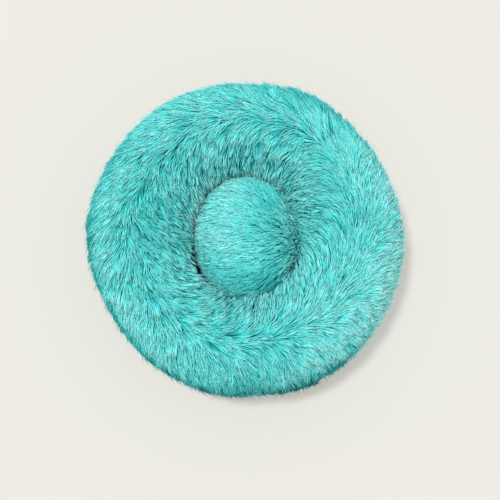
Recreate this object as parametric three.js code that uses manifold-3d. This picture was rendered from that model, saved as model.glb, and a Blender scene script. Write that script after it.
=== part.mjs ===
// Round donut bed for a cat or a small dog, in millimetres, +Z up.
// A stuffed ring of long-pile plush stands round a puffy centre pad, on a flat woven base.
// The ring's cover is two lengths of plush. A zip low on the outside lets its bolster out.
// The origin is the centre of the base's underside, +X points right and +Y to the back.
import * as THREE from "three";
import { mergeVertices } from "three/addons/utils/BufferGeometryUtils.js";
import Module from "manifold-3d";

const wasm = await Module();
wasm.setup();

// The ring, measured over its lying pile.
const RING_RADIUS = 250;
const RING_HEIGHT = 175;
const HOLE_RADIUS = 88; // the narrowest place, half way up
const EQUATOR_HEIGHT = 82; // the ring is widest here
const CROWN_SHIFT_DISTANCE = 9; // the crown leans outwards by this much
const PLUSH_THICKNESS = 12; // knitted backing and lying pile

// How full the section is: 2 is an ellipse, and more is squarer.
const UPPER_POWER = 2.2;
const LOWER_OUTER_POWER = 3;
const LOWER_INNER_POWER = 5;

// Places round the section in degrees: 0 outside, 90 at the crown, 180 inside.
// The first is the cover's rim over the base, and the last its edge at the centre seam.
const SECTION_PLACES = [-40, -18, 0, 18, 36, 54, 72, 90, 108, 126, 144, 162, 180, 184, 205, 235];
const RIM_PLACE = SECTION_PLACES[0];
const CENTRE_SEAM_PLACE = SECTION_PLACES[SECTION_PLACES.length - 1];
const NARROWEST_PLACE = 180; // of the hole
// The bolster goes on round the bottom, where its liner's long seam is.
const BOTTOM_PLACES = [269.6, 270.4, 300];

// Cross seams of the two lengths of plush, in degrees of azimuth.
const FIRST_SEAM_DEGREES = 50;
const SECOND_SEAM_DEGREES = 276;
const LONG_STEPS = 38;
const SHORT_STEPS = 24;
const SEAM_STEP_DEGREES = 2.5; // degrees, the short step beside a seam
const PINCH_DEGREES = 7; // degrees each side of a seam
const PINCH_SHARE = 0.02; // of the ring's height and width, drawn in at a seam

// The pile's main tufts: staggered swells over the cover's outside, from dip to top.
const TUFT_HEIGHT = 6;
const TUFT_RISE_SHARE = 0.35; // of that height, over the ring's even surface
const TUFT_EVEN_SHARE = 0.75; // the rest of the height comes and goes
const TUFT_WAVES = { round: 5, across: 3 }; // how often it does, in a turn each way
const TUFT_PLACES = { first: 0, last: 162 }; // places round the section that have tufts

// The uneven stuffing, every 30 degrees of azimuth from +X.
const OUTER_SHARES = [0.991, 0.974, 1.008, 0.979, 0.993, 0.978, 0.986, 0.948, 0.976, 0.998, 1.003, 0.985];
const HOLE_SHARES = [1.01, 1.0, 1.1, 1.17, 1.09, 0.97, 0.94, 0.99, 1.04, 1.07, 1.06, 1.04];
const HEIGHT_SHARES = [0.99, 0.985, 1, 0.99, 0.98, 0.99, 1, 0.985, 0.99, 1, 0.995, 0.985];

// The centre pad.
const CENTRE_HEIGHT = 120;
const CENTRE_POWER = 2.1;
const CENTRE_GAP = 1; // from its pile to the ring's
const CENTRE_CAP_STEPS = 6;

// Layers.
const BASE_THICKNESS = 1.6;
const LINER_THICKNESS = 1;
const LAYER_GAP = 0.5; // between one soft layer and the next
const SEAT_GAP = 0.4; // over the base
const FACE_GAP = 0.3; // between faces that are sewn together
const BOLSTER_END_GAP = 9.5; // between the bolster's two ends, at the outside
const LINER_END_THICKNESS = 1.2; // at the outside

// The centre seam's allowance, under the ring cover's inner edge.
const CENTRE_TAPE_WIDTH = 9;

// The band between the base's rim and the ring cover's rim, closed by the zip or by a sewn tape.
const BAND_LEAN_WIDTH = 7.6; // its top stands this much further out than its foot
const BAND_SET_DISTANCE = 2.8; // from the cover's inside face
const BASE_RIM_HEIGHT = 4.9;
const BASE_RIM_TURN_WIDTH = 8; // the base's edge turns up over this width
const RIM_TAPE_THICKNESS = 1.2;
const TURN_SHARES = { across: 0.62, up: 0.22 }; // the middle of the turned edge

// The zip, in degrees of azimuth where it lies.
const ZIP_START_DEGREES = 108;
const ZIP_END_DEGREES = 218;
const ZIP_STEPS = 30;
const SEWN_STEPS = 34; // of the sewn tape that goes on round from the zip
const COIL_WIDTH = 2.5;
const COIL_THICKNESS = 2;
const COIL_SPACING = 1.2; // the slider's divider runs here
const COIL_GAP = 0.3; // over the tape
const TAPE_THICKNESS = 0.8;
const TAPE_SPLIT_WIDTH = 2; // between the two tapes
const STOP_LENGTH = 3;
const STOP_INSET_DISTANCE = 1.6; // from the tape's end
const STOP_PROUD_HEIGHT = 0.3; // over the coils
const SLIDER_PARK_DISTANCE = 2; // from the stop to the slider

// The slider.
const SLIDER_LENGTH = 11;
const SLIDER_PLATE_THICKNESS = 1.2;
const SLIDER_FLANGE_THICKNESS = 0.8;
const SLIDER_CLEARANCE = 0.4;
const DIVIDER_THICKNESS = 0.5;
const DIVIDER_LENGTH = 5;
const BAIL_WIDTH = 1.6;
const BAIL_LENGTH = 6.4;
const BAIL_THICKNESS = 1;

// The pull tab.
const PULL_LENGTH = 17;
const PULL_WIDTH = 6.4;
const PULL_THICKNESS = 1.2;
const PULL_PIN_DIAMETER = 1.3;
const PULL_ARM_WIDTH = 1.2;
const PULL_CLEARANCE = 0.5;
const PULL_PLATE_START_DISTANCE = 4.6; // from the pin's axis
const PULL_PIN_SIDES = 12;

const degrees = (radians) => THREE.MathUtils.radToDeg(radians);
const radians = (angle) => THREE.MathUtils.degToRad(angle);
// An azimuth step, in degrees, for an arc of this length at this radius.
const arc = (length, radius) => degrees(length / radius);
// A cosine or sine raised for a fuller section, with its sign kept.
const fuller = (value, power) => Math.sign(value) * Math.abs(value) ** (2 / power);

// A closed row of shares, read smoothly at any azimuth.
function shareAt(shares, azimuth) {
  const turn = (((azimuth / 360) % 1) + 1) % 1;
  const place = turn * shares.length;
  const first = Math.floor(place);
  const t = place - first;
  const [a, b, c, d] = [-1, 0, 1, 2].map((k) => shares[(first + k + shares.length) % shares.length]);
  return b + 0.5 * t * (c - a + t * (2 * a - 5 * b + 4 * c - d + t * (3 * (b - c) + d - a)));
}

// How much the nearer cross seam draws the ring in, from 0 to 1.
function pinchAt(azimuth) {
  const pulls = [FIRST_SEAM_DEGREES, SECOND_SEAM_DEGREES].map((seam) => {
    const away = THREE.MathUtils.euclideanModulo(azimuth - seam + 180, 360) - 180;
    return Math.exp(-((away / PINCH_DEGREES) ** 2));
  });
  return Math.max(...pulls);
}

// The ring's section at an azimuth, as [radius, height], a depth under the pile's surface.
// The lower half keeps its height down to the base, and its rims stay true circles.
function ringPoint(azimuth, place, depth) {
  const cosine = Math.cos(radians(place));
  const sine = Math.sin(radians(place));
  const lowerPower = cosine > 0 ? LOWER_OUTER_POWER : LOWER_INNER_POWER;
  const power = sine > 0 ? UPPER_POWER : lowerPower;
  const middle = (RING_RADIUS + HOLE_RADIUS) / 2;
  const halfWidth = (RING_RADIUS - HOLE_RADIUS) / 2 - depth;
  const drawnIn = 1 - PINCH_SHARE * pinchAt(azimuth);
  const crown = RING_HEIGHT * shareAt(HEIGHT_SHARES, azimuth) * drawnIn;
  const underBase = Math.max(0, depth - PLUSH_THICKNESS - LAYER_GAP);
  const rise = crown - EQUATOR_HEIGHT - depth;
  const drop = EQUATOR_HEIGHT - BASE_THICKNESS - SEAT_GAP - underBase;
  const up = fuller(sine, power);
  const rimDrop = -fuller(Math.sin(radians(RIM_PLACE)), LOWER_OUTER_POWER);
  const loose = sine > 0 ? 1 : Math.max(0, 1 - (up / rimDrop) ** 2);
  const outwards = RING_RADIUS * (shareAt(OUTER_SHARES, azimuth) * drawnIn - 1);
  const holeWider = HOLE_RADIUS * (shareAt(HOLE_SHARES, azimuth) - 1);
  const uneven = (outwards * (1 + cosine) + holeWider * (1 - cosine)) / 2;
  const lean = CROWN_SHIFT_DISTANCE * Math.max(0, sine);
  const radius = middle + halfWidth * fuller(cosine, power) + lean + uneven * loose;
  return [radius, EQUATOR_HEIGHT + up * (sine > 0 ? rise : drop)];
}

// Evenly spaced values, the two ends included.
const steps = (from, to, count) =>
  Array.from({ length: count + 1 }, (_, i) => from + ((to - from) * i) / count);

// Evenly spaced azimuths between two seams, but for a short step beside each.
function seamed(from, to, count) {
  return [from, ...steps(from + SEAM_STEP_DEGREES, to - SEAM_STEP_DEGREES, count - 2), to];
}

const LONG_AZIMUTHS = seamed(FIRST_SEAM_DEGREES, SECOND_SEAM_DEGREES, LONG_STEPS);
const SHORT_AZIMUTHS = seamed(SECOND_SEAM_DEGREES, FIRST_SEAM_DEGREES + 360, SHORT_STEPS);
const ALL_AZIMUTHS = [...LONG_AZIMUTHS.slice(0, -1), ...SHORT_AZIMUTHS];

// The azimuths with their first and last taken in by these angles.
function takenIn(azimuths, atStart, atEnd = atStart) {
  const inner = azimuths.slice(1, -1);
  return [azimuths[0] + atStart, ...inner, azimuths[azimuths.length - 1] - atEnd];
}

// A closed mesh from points and triangles, with its faces turned out.
function closedGeometry(points, triangles) {
  const [a, b, c] = [new THREE.Vector3(), new THREE.Vector3(), new THREE.Vector3()];
  let volume = 0;
  for (const [i, j, k] of triangles) {
    a.fromArray(points[i]);
    b.fromArray(points[j]);
    c.fromArray(points[k]);
    volume += a.dot(b.cross(c));
  }
  const facing = volume < 0 ? triangles.map(([i, j, k]) => [i, k, j]) : triangles;
  const geometry = new THREE.BufferGeometry();
  geometry.setAttribute("position", new THREE.Float32BufferAttribute(points.flat(), 3));
  geometry.setIndex(facing.flat());
  return mergeVertices(geometry);
}

const apart = (a, b) => Math.hypot(a[0] - b[0], a[1] - b[1], a[2] - b[2]);

// Sweeps a closed section of [radius, height] points round the Z axis.
// A whole turn joins up, and any shorter sweep gets a flat end at each side.
function swept(sectionAt, azimuths, wholeTurn = false) {
  const sections = azimuths.map((azimuth, i) => sectionAt(azimuth, i));
  const size = sections[0].length;
  const points = sections.flatMap((section, i) => {
    const angle = radians(azimuths[i]);
    return section.map(([r, z]) => [r * Math.cos(angle), r * Math.sin(angle), z]);
  });
  const triangles = [];
  for (let i = 0; i + 1 < sections.length; i++) {
    for (let j = 0; j < size; j++) {
      const next = (j + 1) % size;
      const here = i * size;
      const there = wholeTurn && i + 2 === sections.length ? 0 : here + size;
      // Each face is split along its shorter diagonal, so neighbouring layers stay parallel.
      const rising = apart(points[here + j], points[there + next]);
      const falling = apart(points[there + j], points[here + next]);
      const [low, high] = rising < falling ? [here + j, there + next] : [there + j, here + next];
      if (sections[i][j][0] > 0) triangles.push([here + j, there + j, high]);
      if (sections[i][next][0] > 0) triangles.push([low, there + next, here + next]);
    }
  }
  if (!wholeTurn) {
    const last = (sections.length - 1) * size;
    for (const [section, start, turned] of [
      [sections[0], 0, false],
      [sections[sections.length - 1], last, true],
    ]) {
      const outline = section.map(([r, z]) => new THREE.Vector2(r, z));
      const kept = turned === THREE.ShapeUtils.isClockWise(outline);
      for (const [i, j, k] of THREE.ShapeUtils.triangulateShape(outline, [])) {
        triangles.push(kept ? [start + i, start + j, start + k] : [start + i, start + k, start + j]);
      }
    }
  }
  return closedGeometry(points, triangles);
}

// A three.js geometry as a manifold solid, and back.
function solidOf(geometry) {
  const bare = geometry.clone();
  bare.deleteAttribute("normal");
  bare.deleteAttribute("uv");
  const merged = mergeVertices(bare);
  const vertProperties = new Float32Array(merged.attributes.position.array);
  const triVerts = new Uint32Array(merged.index.array);
  return new wasm.Manifold(new wasm.Mesh({ numProp: 3, vertProperties, triVerts }));
}

function geometryOf(solid) {
  const mesh = solid.getMesh();
  const geometry = new THREE.BufferGeometry();
  geometry.setAttribute("position", new THREE.Float32BufferAttribute(mesh.vertProperties, 3));
  geometry.setIndex(Array.from(mesh.triVerts));
  return geometry;
}

const joined = (geometries) => geometryOf(geometries.map(solidOf).reduce((a, b) => a.add(b)));

const fabric = (color, roughness = 0.95) =>
  new THREE.MeshStandardMaterial({ color, roughness, metalness: 0 });
const PLUSH = fabric(0x5fd6d2);
const OXFORD = fabric(0x3c4a4c, 0.8);
const SEAM = fabric(0x2f6f70);
const LINER = fabric(0xf1f1ec);
const FILL = fabric(0xfafaf7, 1);
const TAPE = fabric(0x36a3a1, 0.85);
const NYLON = new THREE.MeshStandardMaterial({ color: 0x45b4b1, roughness: 0.45, metalness: 0 });
const NICKEL = new THREE.MeshStandardMaterial({ color: 0xb8bcc0, roughness: 0.35, metalness: 0.9 });

const bed = new THREE.Group();

function add(name, geometry, material) {
  const mesh = new THREE.Mesh(geometry, material);
  mesh.name = name;
  bed.add(mesh);
}

// How deep the cover's outside lies at a tuft's top or in a dip.
function tuftDepth(azimuth, place, isTop) {
  const { round, across } = TUFT_WAVES;
  const wave = Math.sin(radians(azimuth * round + place * across));
  const height = TUFT_HEIGHT * (TUFT_EVEN_SHARE + (1 - TUFT_EVEN_SHARE) * wave);
  return isTop ? -height * TUFT_RISE_SHARE : height * (1 - TUFT_RISE_SHARE);
}

// Ring cover: two lengths of plush, each open underneath, that meet at the cross seams.
function cover(azimuths) {
  const coverSection = (azimuth, i) => {
    const atSeam = i === 0 || i === azimuths.length - 1;
    const outside = SECTION_PLACES.map((place, j) => {
      const plain = atSeam || place < TUFT_PLACES.first || place > TUFT_PLACES.last;
      return ringPoint(azimuth, place, plain ? 0 : tuftDepth(azimuth, place, (i + j) % 2 === 0));
    });
    const inside = SECTION_PLACES.map((place) => ringPoint(azimuth, place, PLUSH_THICKNESS));
    return [...outside, ...inside.reverse()];
  };
  return swept(coverSection, takenIn(azimuths, arc(FACE_GAP / 2, HOLE_RADIUS)));
}

add("ring_cover_long", cover(LONG_AZIMUTHS), PLUSH);
add("ring_cover_short", cover(SHORT_AZIMUTHS), PLUSH);

// Bolster: a stuffed tube bent into the ring, whose ends meet at the first cross seam.
const BOLSTER_PLACES = [...SECTION_PLACES, ...BOTTOM_PLACES];
const slitPlace = BOLSTER_PLACES.indexOf(BOTTOM_PLACES[1]);
const LINER_PLACES = [...BOLSTER_PLACES.slice(slitPlace), ...BOLSTER_PLACES.slice(0, slitPlace)];
const LINER_DEPTH = PLUSH_THICKNESS + LAYER_GAP;
const FILL_DEPTH = LINER_DEPTH + LINER_THICKNESS + LAYER_GAP;
const bolsterEnd = arc(BOLSTER_END_GAP / 2, RING_RADIUS);
const linerEnd = arc(LINER_END_THICKNESS, RING_RADIUS);
const endGap = arc(FACE_GAP, HOLE_RADIUS);

// The liner is one piece of cloth, whose long edges meet under the bolster.
function linerSection(azimuth) {
  const outside = LINER_PLACES.map((place) => ringPoint(azimuth, place, LINER_DEPTH));
  const inside = LINER_PLACES.map((place) => ringPoint(azimuth, place, LINER_DEPTH + LINER_THICKNESS));
  return [...outside, ...inside.reverse()];
}

const bolsterSection = (depth) => (azimuth) =>
  BOLSTER_PLACES.map((place) => ringPoint(azimuth, place, depth));

const tubeInset = bolsterEnd + linerEnd + endGap;
add("bolster_liner", swept(linerSection, takenIn(ALL_AZIMUTHS, tubeInset)), LINER);
add("bolster_fill", swept(bolsterSection(FILL_DEPTH), takenIn(ALL_AZIMUTHS, tubeInset)), FILL);
const endDisc = (from) => swept(bolsterSection(LINER_DEPTH), [from, from + linerEnd]);
add("liner_end_left", endDisc(FIRST_SEAM_DEGREES + bolsterEnd), LINER);
add("liner_end_right", endDisc(FIRST_SEAM_DEGREES - bolsterEnd - linerEnd), LINER);

// Centre pad: its side lies against the ring's inner wall, and its top is a round crown.
const SIDE_PLACES = SECTION_PLACES.filter((place) => place > NARROWEST_PLACE).reverse();

function centreOutline(azimuth, depth) {
  const side = SIDE_PLACES.map((place) => {
    const [radius, height] = ringPoint(azimuth, place, 0);
    return [radius - CENTRE_GAP - depth, height];
  });
  const [shoulder, spring] = side[side.length - 1];
  const rise = CENTRE_HEIGHT - depth - spring;
  const cap = steps(0, 90, CENTRE_CAP_STEPS).slice(1, -1).map((angle) => {
    const out = fuller(Math.cos(radians(angle)), CENTRE_POWER);
    const up = fuller(Math.sin(radians(angle)), CENTRE_POWER);
    return [shoulder * out, spring + rise * up];
  });
  return [...side, ...cap, [0, spring + rise]];
}

const padFoot = BASE_THICKNESS + SEAT_GAP;

function centreTopSection(azimuth) {
  const outside = centreOutline(azimuth, 0);
  const inside = centreOutline(azimuth, PLUSH_THICKNESS);
  const [outerRadius] = outside[0];
  const [innerRadius] = inside[0];
  return [[innerRadius, padFoot], [outerRadius, padFoot], ...outside, ...inside.reverse()];
}

function padFillSection(azimuth) {
  const outline = centreOutline(azimuth, PLUSH_THICKNESS + LAYER_GAP);
  return [[0, padFoot], [outline[0][0], padFoot], ...outline];
}

add("centre_top", swept(centreTopSection, ALL_AZIMUTHS, true), PLUSH);
add("pad_fill", swept(padFillSection, ALL_AZIMUTHS, true), FILL);

// Centre seam: the allowance of the ring cover's inner edge, sewn down to the base.
function centreTapeSection() {
  const [edge, height] = ringPoint(0, CENTRE_SEAM_PLACE, 0);
  const top = height - FACE_GAP;
  const far = edge + CENTRE_TAPE_WIDTH;
  return [[edge, padFoot], [far, padFoot], [far, top], [edge, top]];
}

add("centre_seam_tape", swept(centreTapeSection, ALL_AZIMUTHS, true), SEAM);

// The band: a cone that the zip and the sewn tape lie on, from the base's rim up to the cover's.
const [coverRimRadius, coverRimHeight] = ringPoint(0, RIM_PLACE, PLUSH_THICKNESS);
const bandTop = new THREE.Vector2(coverRimRadius + BAND_SET_DISTANCE, coverRimHeight - SEAT_GAP);
const bandFoot = new THREE.Vector2(bandTop.x - BAND_LEAN_WIDTH, BASE_RIM_HEIGHT + FACE_GAP);
const bandLength = bandTop.distanceTo(bandFoot);
const bandUp = bandTop.clone().sub(bandFoot).divideScalar(bandLength);
const bandOut = new THREE.Vector2(bandUp.y, -bandUp.x);

// A point of the band's section: up from its middle, and out from its inside face.
function bandPoint(up, out) {
  const along = bandLength / 2 + up;
  const { x, y } = bandFoot.clone().addScaledVector(bandUp, along).addScaledVector(bandOut, out);
  return [x, y];
}

const strip = (low, high, inside, outside) => () => [
  bandPoint(low, inside),
  bandPoint(high, inside),
  bandPoint(high, outside),
  bandPoint(low, outside),
];

// Base: a disc of coated woven cloth, whose edge turns up to the band.
const baseEdge = bandFoot.x - FACE_GAP;
const baseFlat = baseEdge - BASE_RIM_TURN_WIDTH;
const turnRadius = baseFlat + BASE_RIM_TURN_WIDTH * TURN_SHARES.across;
const turnHeight = BASE_RIM_HEIGHT * TURN_SHARES.up;
const baseSection = () => [
  [0, 0],
  [baseFlat, 0],
  [turnRadius, turnHeight],
  [baseEdge, BASE_RIM_HEIGHT],
  [baseEdge - BASE_THICKNESS, BASE_RIM_HEIGHT],
  [turnRadius - BASE_THICKNESS / 2, turnHeight + BASE_THICKNESS],
  [baseFlat - BASE_THICKNESS / 2, BASE_THICKNESS],
  [0, BASE_THICKNESS],
];
add("base_panel", swept(baseSection, ALL_AZIMUTHS, true), OXFORD);

// Sewn tape: it closes the band wherever the zip doesn't.
const bandRadius = bandFoot.x;
const tapeEndGap = arc(FACE_GAP, bandRadius);
const sewnAzimuths = takenIn(steps(ZIP_END_DEGREES, ZIP_START_DEGREES + 360, SEWN_STEPS), tapeEndGap);
const halfBand = bandLength / 2;
add("rim_seam_tape", swept(strip(-halfBand, halfBand, 0, RIM_TAPE_THICKNESS), sewnAzimuths), SEAM);

// Zip tapes, with a coil sewn on the edge of each.
const zipAzimuths = steps(ZIP_START_DEGREES, ZIP_END_DEGREES, ZIP_STEPS);
const halfSplit = TAPE_SPLIT_WIDTH / 2;
add("zip_tape_lower", swept(strip(-halfBand, -halfSplit, 0, TAPE_THICKNESS), zipAzimuths), TAPE);
add("zip_tape_upper", swept(strip(halfSplit, halfBand, 0, TAPE_THICKNESS), zipAzimuths), TAPE);

const coilInside = TAPE_THICKNESS + COIL_GAP;
const coilOutside = coilInside + COIL_THICKNESS;
const coilNear = COIL_SPACING / 2;
const coilFar = coilNear + COIL_WIDTH;
const stopLength = arc(STOP_LENGTH, bandRadius);
const coilEnd = arc(STOP_INSET_DISTANCE, bandRadius) + stopLength + tapeEndGap;
const coilAzimuths = takenIn(zipAzimuths, coilEnd);
add("zip_coil_lower", swept(strip(-coilFar, -coilNear, coilInside, coilOutside), coilAzimuths), NYLON);
add("zip_coil_upper", swept(strip(coilNear, coilFar, coilInside, coilOutside), coilAzimuths), NYLON);

const stopSection = strip(-coilFar, coilFar, coilInside, coilOutside + STOP_PROUD_HEIGHT);
const stopFrom = ZIP_START_DEGREES + arc(STOP_INSET_DISTANCE, bandRadius);
const stopTo = ZIP_END_DEGREES - arc(STOP_INSET_DISTANCE, bandRadius);
add("zip_stop_closed", swept(stopSection, [stopFrom, stopFrom + stopLength]), NICKEL);
add("zip_stop_open", swept(stopSection, [stopTo - stopLength, stopTo]), NICKEL);

// Slider: one plate over the coils and one behind the tapes, joined by the divider between them.
const sliderStart = ZIP_START_DEGREES + coilEnd + arc(SLIDER_PARK_DISTANCE, bandRadius);
const sliderAzimuths = steps(sliderStart, sliderStart + arc(SLIDER_LENGTH, bandRadius), 2);
const dividerAzimuths = [sliderStart, sliderStart + arc(DIVIDER_LENGTH, bandRadius)];
const plateInside = coilOutside + SLIDER_CLEARANCE;
const plateOutside = plateInside + SLIDER_PLATE_THICKNESS;
const flangeNear = coilFar + SLIDER_CLEARANCE;
const flangeFar = flangeNear + SLIDER_FLANGE_THICKNESS;
const flangeInside = TAPE_THICKNESS + SLIDER_CLEARANCE;
const halfDivider = DIVIDER_THICKNESS / 2;
const backInside = -SLIDER_CLEARANCE - SLIDER_PLATE_THICKNESS;
const sliderMiddle = radians(sliderAzimuths[1]);

// The slider's own axes: up the band, out of it and along it.
const [mountRadius, mountHeight] = bandPoint(0, 0);
const outwards = new THREE.Vector3(Math.cos(sliderMiddle), Math.sin(sliderMiddle), 0);
const upright = new THREE.Vector3(0, 0, 1);
const bandAxis = (direction) =>
  outwards.clone().multiplyScalar(direction.x).addScaledVector(upright, direction.y);
const alongBand = new THREE.Vector3().crossVectors(upright, outwards);
const sliderFrame = new THREE.Matrix4()
  .makeBasis(bandAxis(bandUp), bandAxis(bandOut), alongBand)
  .setPosition(outwards.clone().multiplyScalar(mountRadius).addScaledVector(upright, mountHeight));

// A block in the slider's axes, from its low corner to its high one.
function block(low, high) {
  const size = high.map((value, i) => value - low[i]);
  const centre = high.map((value, i) => (value + low[i]) / 2);
  return new THREE.BoxGeometry(...size).translate(...centre).applyMatrix4(sliderFrame);
}

const pinRadius = PULL_PIN_DIAMETER / 2;
const pinOut = plateOutside + PULL_CLEARANCE + pinRadius;
const bailTop = pinOut + pinRadius + SLIDER_CLEARANCE + BAIL_THICKNESS;
const halfBail = BAIL_LENGTH / 2;
const halfBailWidth = BAIL_WIDTH / 2;
const plateMiddle = (plateInside + plateOutside) / 2;
const bailPost = (near, far) =>
  block([-halfBailWidth, plateMiddle, near], [halfBailWidth, bailTop, far]);

add(
  "zip_slider",
  joined([
    swept(strip(-flangeFar, flangeFar, plateInside, plateOutside), sliderAzimuths),
    swept(strip(-flangeFar, -flangeNear, flangeInside, plateMiddle), sliderAzimuths),
    swept(strip(flangeNear, flangeFar, flangeInside, plateMiddle), sliderAzimuths),
    swept(strip(-flangeNear, flangeNear, backInside, -SLIDER_CLEARANCE), sliderAzimuths),
    swept(strip(-halfDivider, halfDivider, backInside / 2, plateMiddle), dividerAzimuths),
    bailPost(-halfBail, BAIL_THICKNESS - halfBail),
    bailPost(halfBail - BAIL_THICKNESS, halfBail),
    block([-halfBailWidth, bailTop - BAIL_THICKNESS, -halfBail], [halfBailWidth, bailTop, halfBail]),
  ]),
  NICKEL,
);

// Pull tab: two arms hold a pin under the slider's bail, and the tab lies along the zip.
const armNear = halfBailWidth + PULL_CLEARANCE;
const armFar = armNear + PULL_ARM_WIDTH;
const halfPull = PULL_THICKNESS / 2;
const pin = new THREE.CylinderGeometry(pinRadius, pinRadius, armNear + armFar, PULL_PIN_SIDES)
  .rotateZ(Math.PI / 2)
  .translate(0, pinOut, 0)
  .applyMatrix4(sliderFrame);
const armEnd = PULL_PLATE_START_DISTANCE + halfPull;
const pullArm = (near, far) =>
  block([near, pinOut - halfPull, -halfPull], [far, pinOut + halfPull, armEnd]);

add(
  "zip_pull",
  joined([
    pin,
    pullArm(-armFar, -armNear),
    pullArm(armNear, armFar),
    block(
      [-PULL_WIDTH / 2, pinOut - halfPull, PULL_PLATE_START_DISTANCE],
      [PULL_WIDTH / 2, pinOut + halfPull, PULL_LENGTH],
    ),
  ]),
  NICKEL,
);

export default bed;
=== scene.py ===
import math

import bmesh
import bpy
import numpy as np
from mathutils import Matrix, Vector, noise
from mathutils.bvhtree import BVHTree
from mathutils.kdtree import KDTree


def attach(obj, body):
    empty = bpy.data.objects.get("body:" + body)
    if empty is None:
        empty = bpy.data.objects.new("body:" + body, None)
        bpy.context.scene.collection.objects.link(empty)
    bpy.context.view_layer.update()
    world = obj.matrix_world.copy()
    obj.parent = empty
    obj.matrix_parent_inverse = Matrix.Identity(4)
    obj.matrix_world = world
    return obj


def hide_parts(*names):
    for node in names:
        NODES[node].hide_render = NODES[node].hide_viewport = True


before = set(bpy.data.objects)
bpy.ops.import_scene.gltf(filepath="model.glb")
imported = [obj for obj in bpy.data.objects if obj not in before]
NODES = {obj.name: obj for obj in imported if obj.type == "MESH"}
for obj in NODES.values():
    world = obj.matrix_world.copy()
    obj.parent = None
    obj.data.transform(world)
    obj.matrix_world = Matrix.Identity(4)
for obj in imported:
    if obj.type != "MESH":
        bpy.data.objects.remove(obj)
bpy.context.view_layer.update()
MM = 0.001

# The camera and the photograph's frame, an image of 500 by 500 pixels.
CAMERA_ELEVATION = 79.0  # degrees above the floor
CAMERA_DISTANCE = 2.0
VIEW_WIDTH = 0.786  # what the frame takes in at the ring's widest height
AIM = (0.0086, -0.0160, 0.082)

# Light: white from all sides, a lit floor and a soft key nearly overhead, from the upper left.
FLOOR_COLOR = (0.848, 0.832, 0.776)
FLOOR_GLOW_SHARE = 0.48  # of its colour, that the floor gives off by itself
BRIGHTNESS = 1.46  # of the light on the bed, over what a floor of that colour would show
WORLD_STRENGTH = 0.44 * BRIGHTNESS
KEY_STRENGTH = 1.84 * BRIGHTNESS
KEY_FROM = (-0.21, 0.03, 1.0)
KEY_ANGLE = 8.0  # degrees across, for soft shadows

# Core circles that the soft surfaces are read from.
RING_CORE_RADIUS = 0.169
RING_CORE_HEIGHT = 0.082
PAD_CORE_HEIGHT = 0.045
FIRST_SEAM, SECOND_SEAM = 50.0, 276.0  # azimuths of the cover's cross seams, in degrees

# The pile.
BACKING_THICKNESS = 0.9 * MM
BACKING_GAP = 0.2 * MM  # from the backing to what it covers
LOCK_LENGTH = 34 * MM
LOCK_WIDTH = 2.1 * MM
RING_LOCK_SPACING = 2.4 * MM
PAD_LOCK_SPACING = 2.0 * MM
TUFT_SPACING = 4.4 * MM  # on the inner wall
BROAD_TUFT_SHARE = 0.42  # of so many are there elsewhere, each broader
SCATTER = 0.48  # of a spacing, that a root may be off its place
STATIONS = np.array([0.0, 0.16, 0.38, 0.62, 0.83, 1.0])  # shares of a lock's length
STATION_WIDTH_SHARES = np.array([0.75, 1.0, 0.95, 0.72, 0.42, 0.0])
LOCK_SIDES = 3
LOCK_SECTION = (1.1, 0.8)  # its width and height, as shares of the lock's width
LOCK_ROLL = 0.35  # radians, the spread of how locks are rolled about their length
LEAST_LOCK_LENGTH = 6 * MM
LEAST_SHARE_INSIDE = 0.9  # of a lock's length, for it to be kept
CUT_BACK = 0.96  # of the length that is allowed, for a lock that is too long
THINNED_SHARE = 0.26  # of the locks is left out where the pile is stubby
LOCKS_IN_PIECE = 6500
UV_SIDE_STEP = 0.004  # keeps each face of a lock from having no width on the colour chart
UV_END_GAP = 0.02  # of the chart, left free at the locks' roots and tips

# How tufts, the locks in them and strays vary. Turns and bends are in degrees, and the power is
# how soon a lock rises from its root. Pairs say from and to, or sleek and stubby where so named.
TUFT_LENGTHS = (0.88, 1.15)
SLEEK_STUBBY_LENGTHS = (1.04, 0.86)
SLEEK_STUBBY_UNEVENNESS = (2.4, 3.8)  # mm up and down
TUFT_TURN, TUFT_TWIST, TUFT_BEND, TUFT_POWER = 6, 4, 10, 1.8
RAISED_TIP_SHARE = 0.45  # of the tufts
RAISED_TIPS = (1, 7)  # mm
LOCK_LENGTHS = (0.72, 1.12)  # shares of the tuft's
LOCK_UNEVENNESS = 2.2 * MM
LOCK_TURN = LOCK_BEND = 6
LOCK_POWERS = (1.3, 2.3)
LOCK_WIDTHS = (0.7, 1.25)
SLEEK_PULLS, STUBBY_PULLS = (0.2, 0.7), (0.65, 1.0)  # how far to the middle of its tuft at the tip
SLEEK_STUBBY_PULL_POWERS = (1.2, 0.7)
STRAY_SHARE = 0.09  # of the locks stand out of the rest
STRAY_RISES, STRAY_TIPS = (1.0, 4.0), (1.0, 8.0)  # mm
STRAY_BEND = 22
STRAY_PULL, STRAY_WIDTH, STRAY_TONE = 0.3, 0.55, 0.06

# A lock's tone, beyond what its place gives.
# Painted light and shade by a lock's height: a lock standing over the pile is paler, as if lit, and one under
# it darker, as if in the shade of the rest.
RISE_LIGHT_SHADE_TONES = (0.018, 0.07)  # paler for each mm over the pile's height, darker for each mm under it
OWN_TONE = 0.07
PALER_DARKER = (0.4, 1.3)  # weights of the own tone's two sides
SHADE_TONE = 0.03
TONE_LIMITS = (0.02, 0.92)

PILE_FOOT = 3.5 * MM  # how near the floor the pile hangs
ZIP_CLEAR_HEIGHT = 18.5 * MM  # and over the zip, where the slider has to pass
ZIP_MARGIN_DEGREES = 3.0

rng = np.random.default_rng(41)


# Small helpers on rows of vectors.
def unit(a):
    return a / np.maximum(np.linalg.norm(a, axis=-1, keepdims=True), 1e-12)


def smoothstep(low, high, value):
    t = np.clip((value - low) / (high - low), 0.0, 1.0)
    return t * t * (3 - 2 * t)


def mix(a, b, t):
    return a + (b - a) * t


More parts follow.
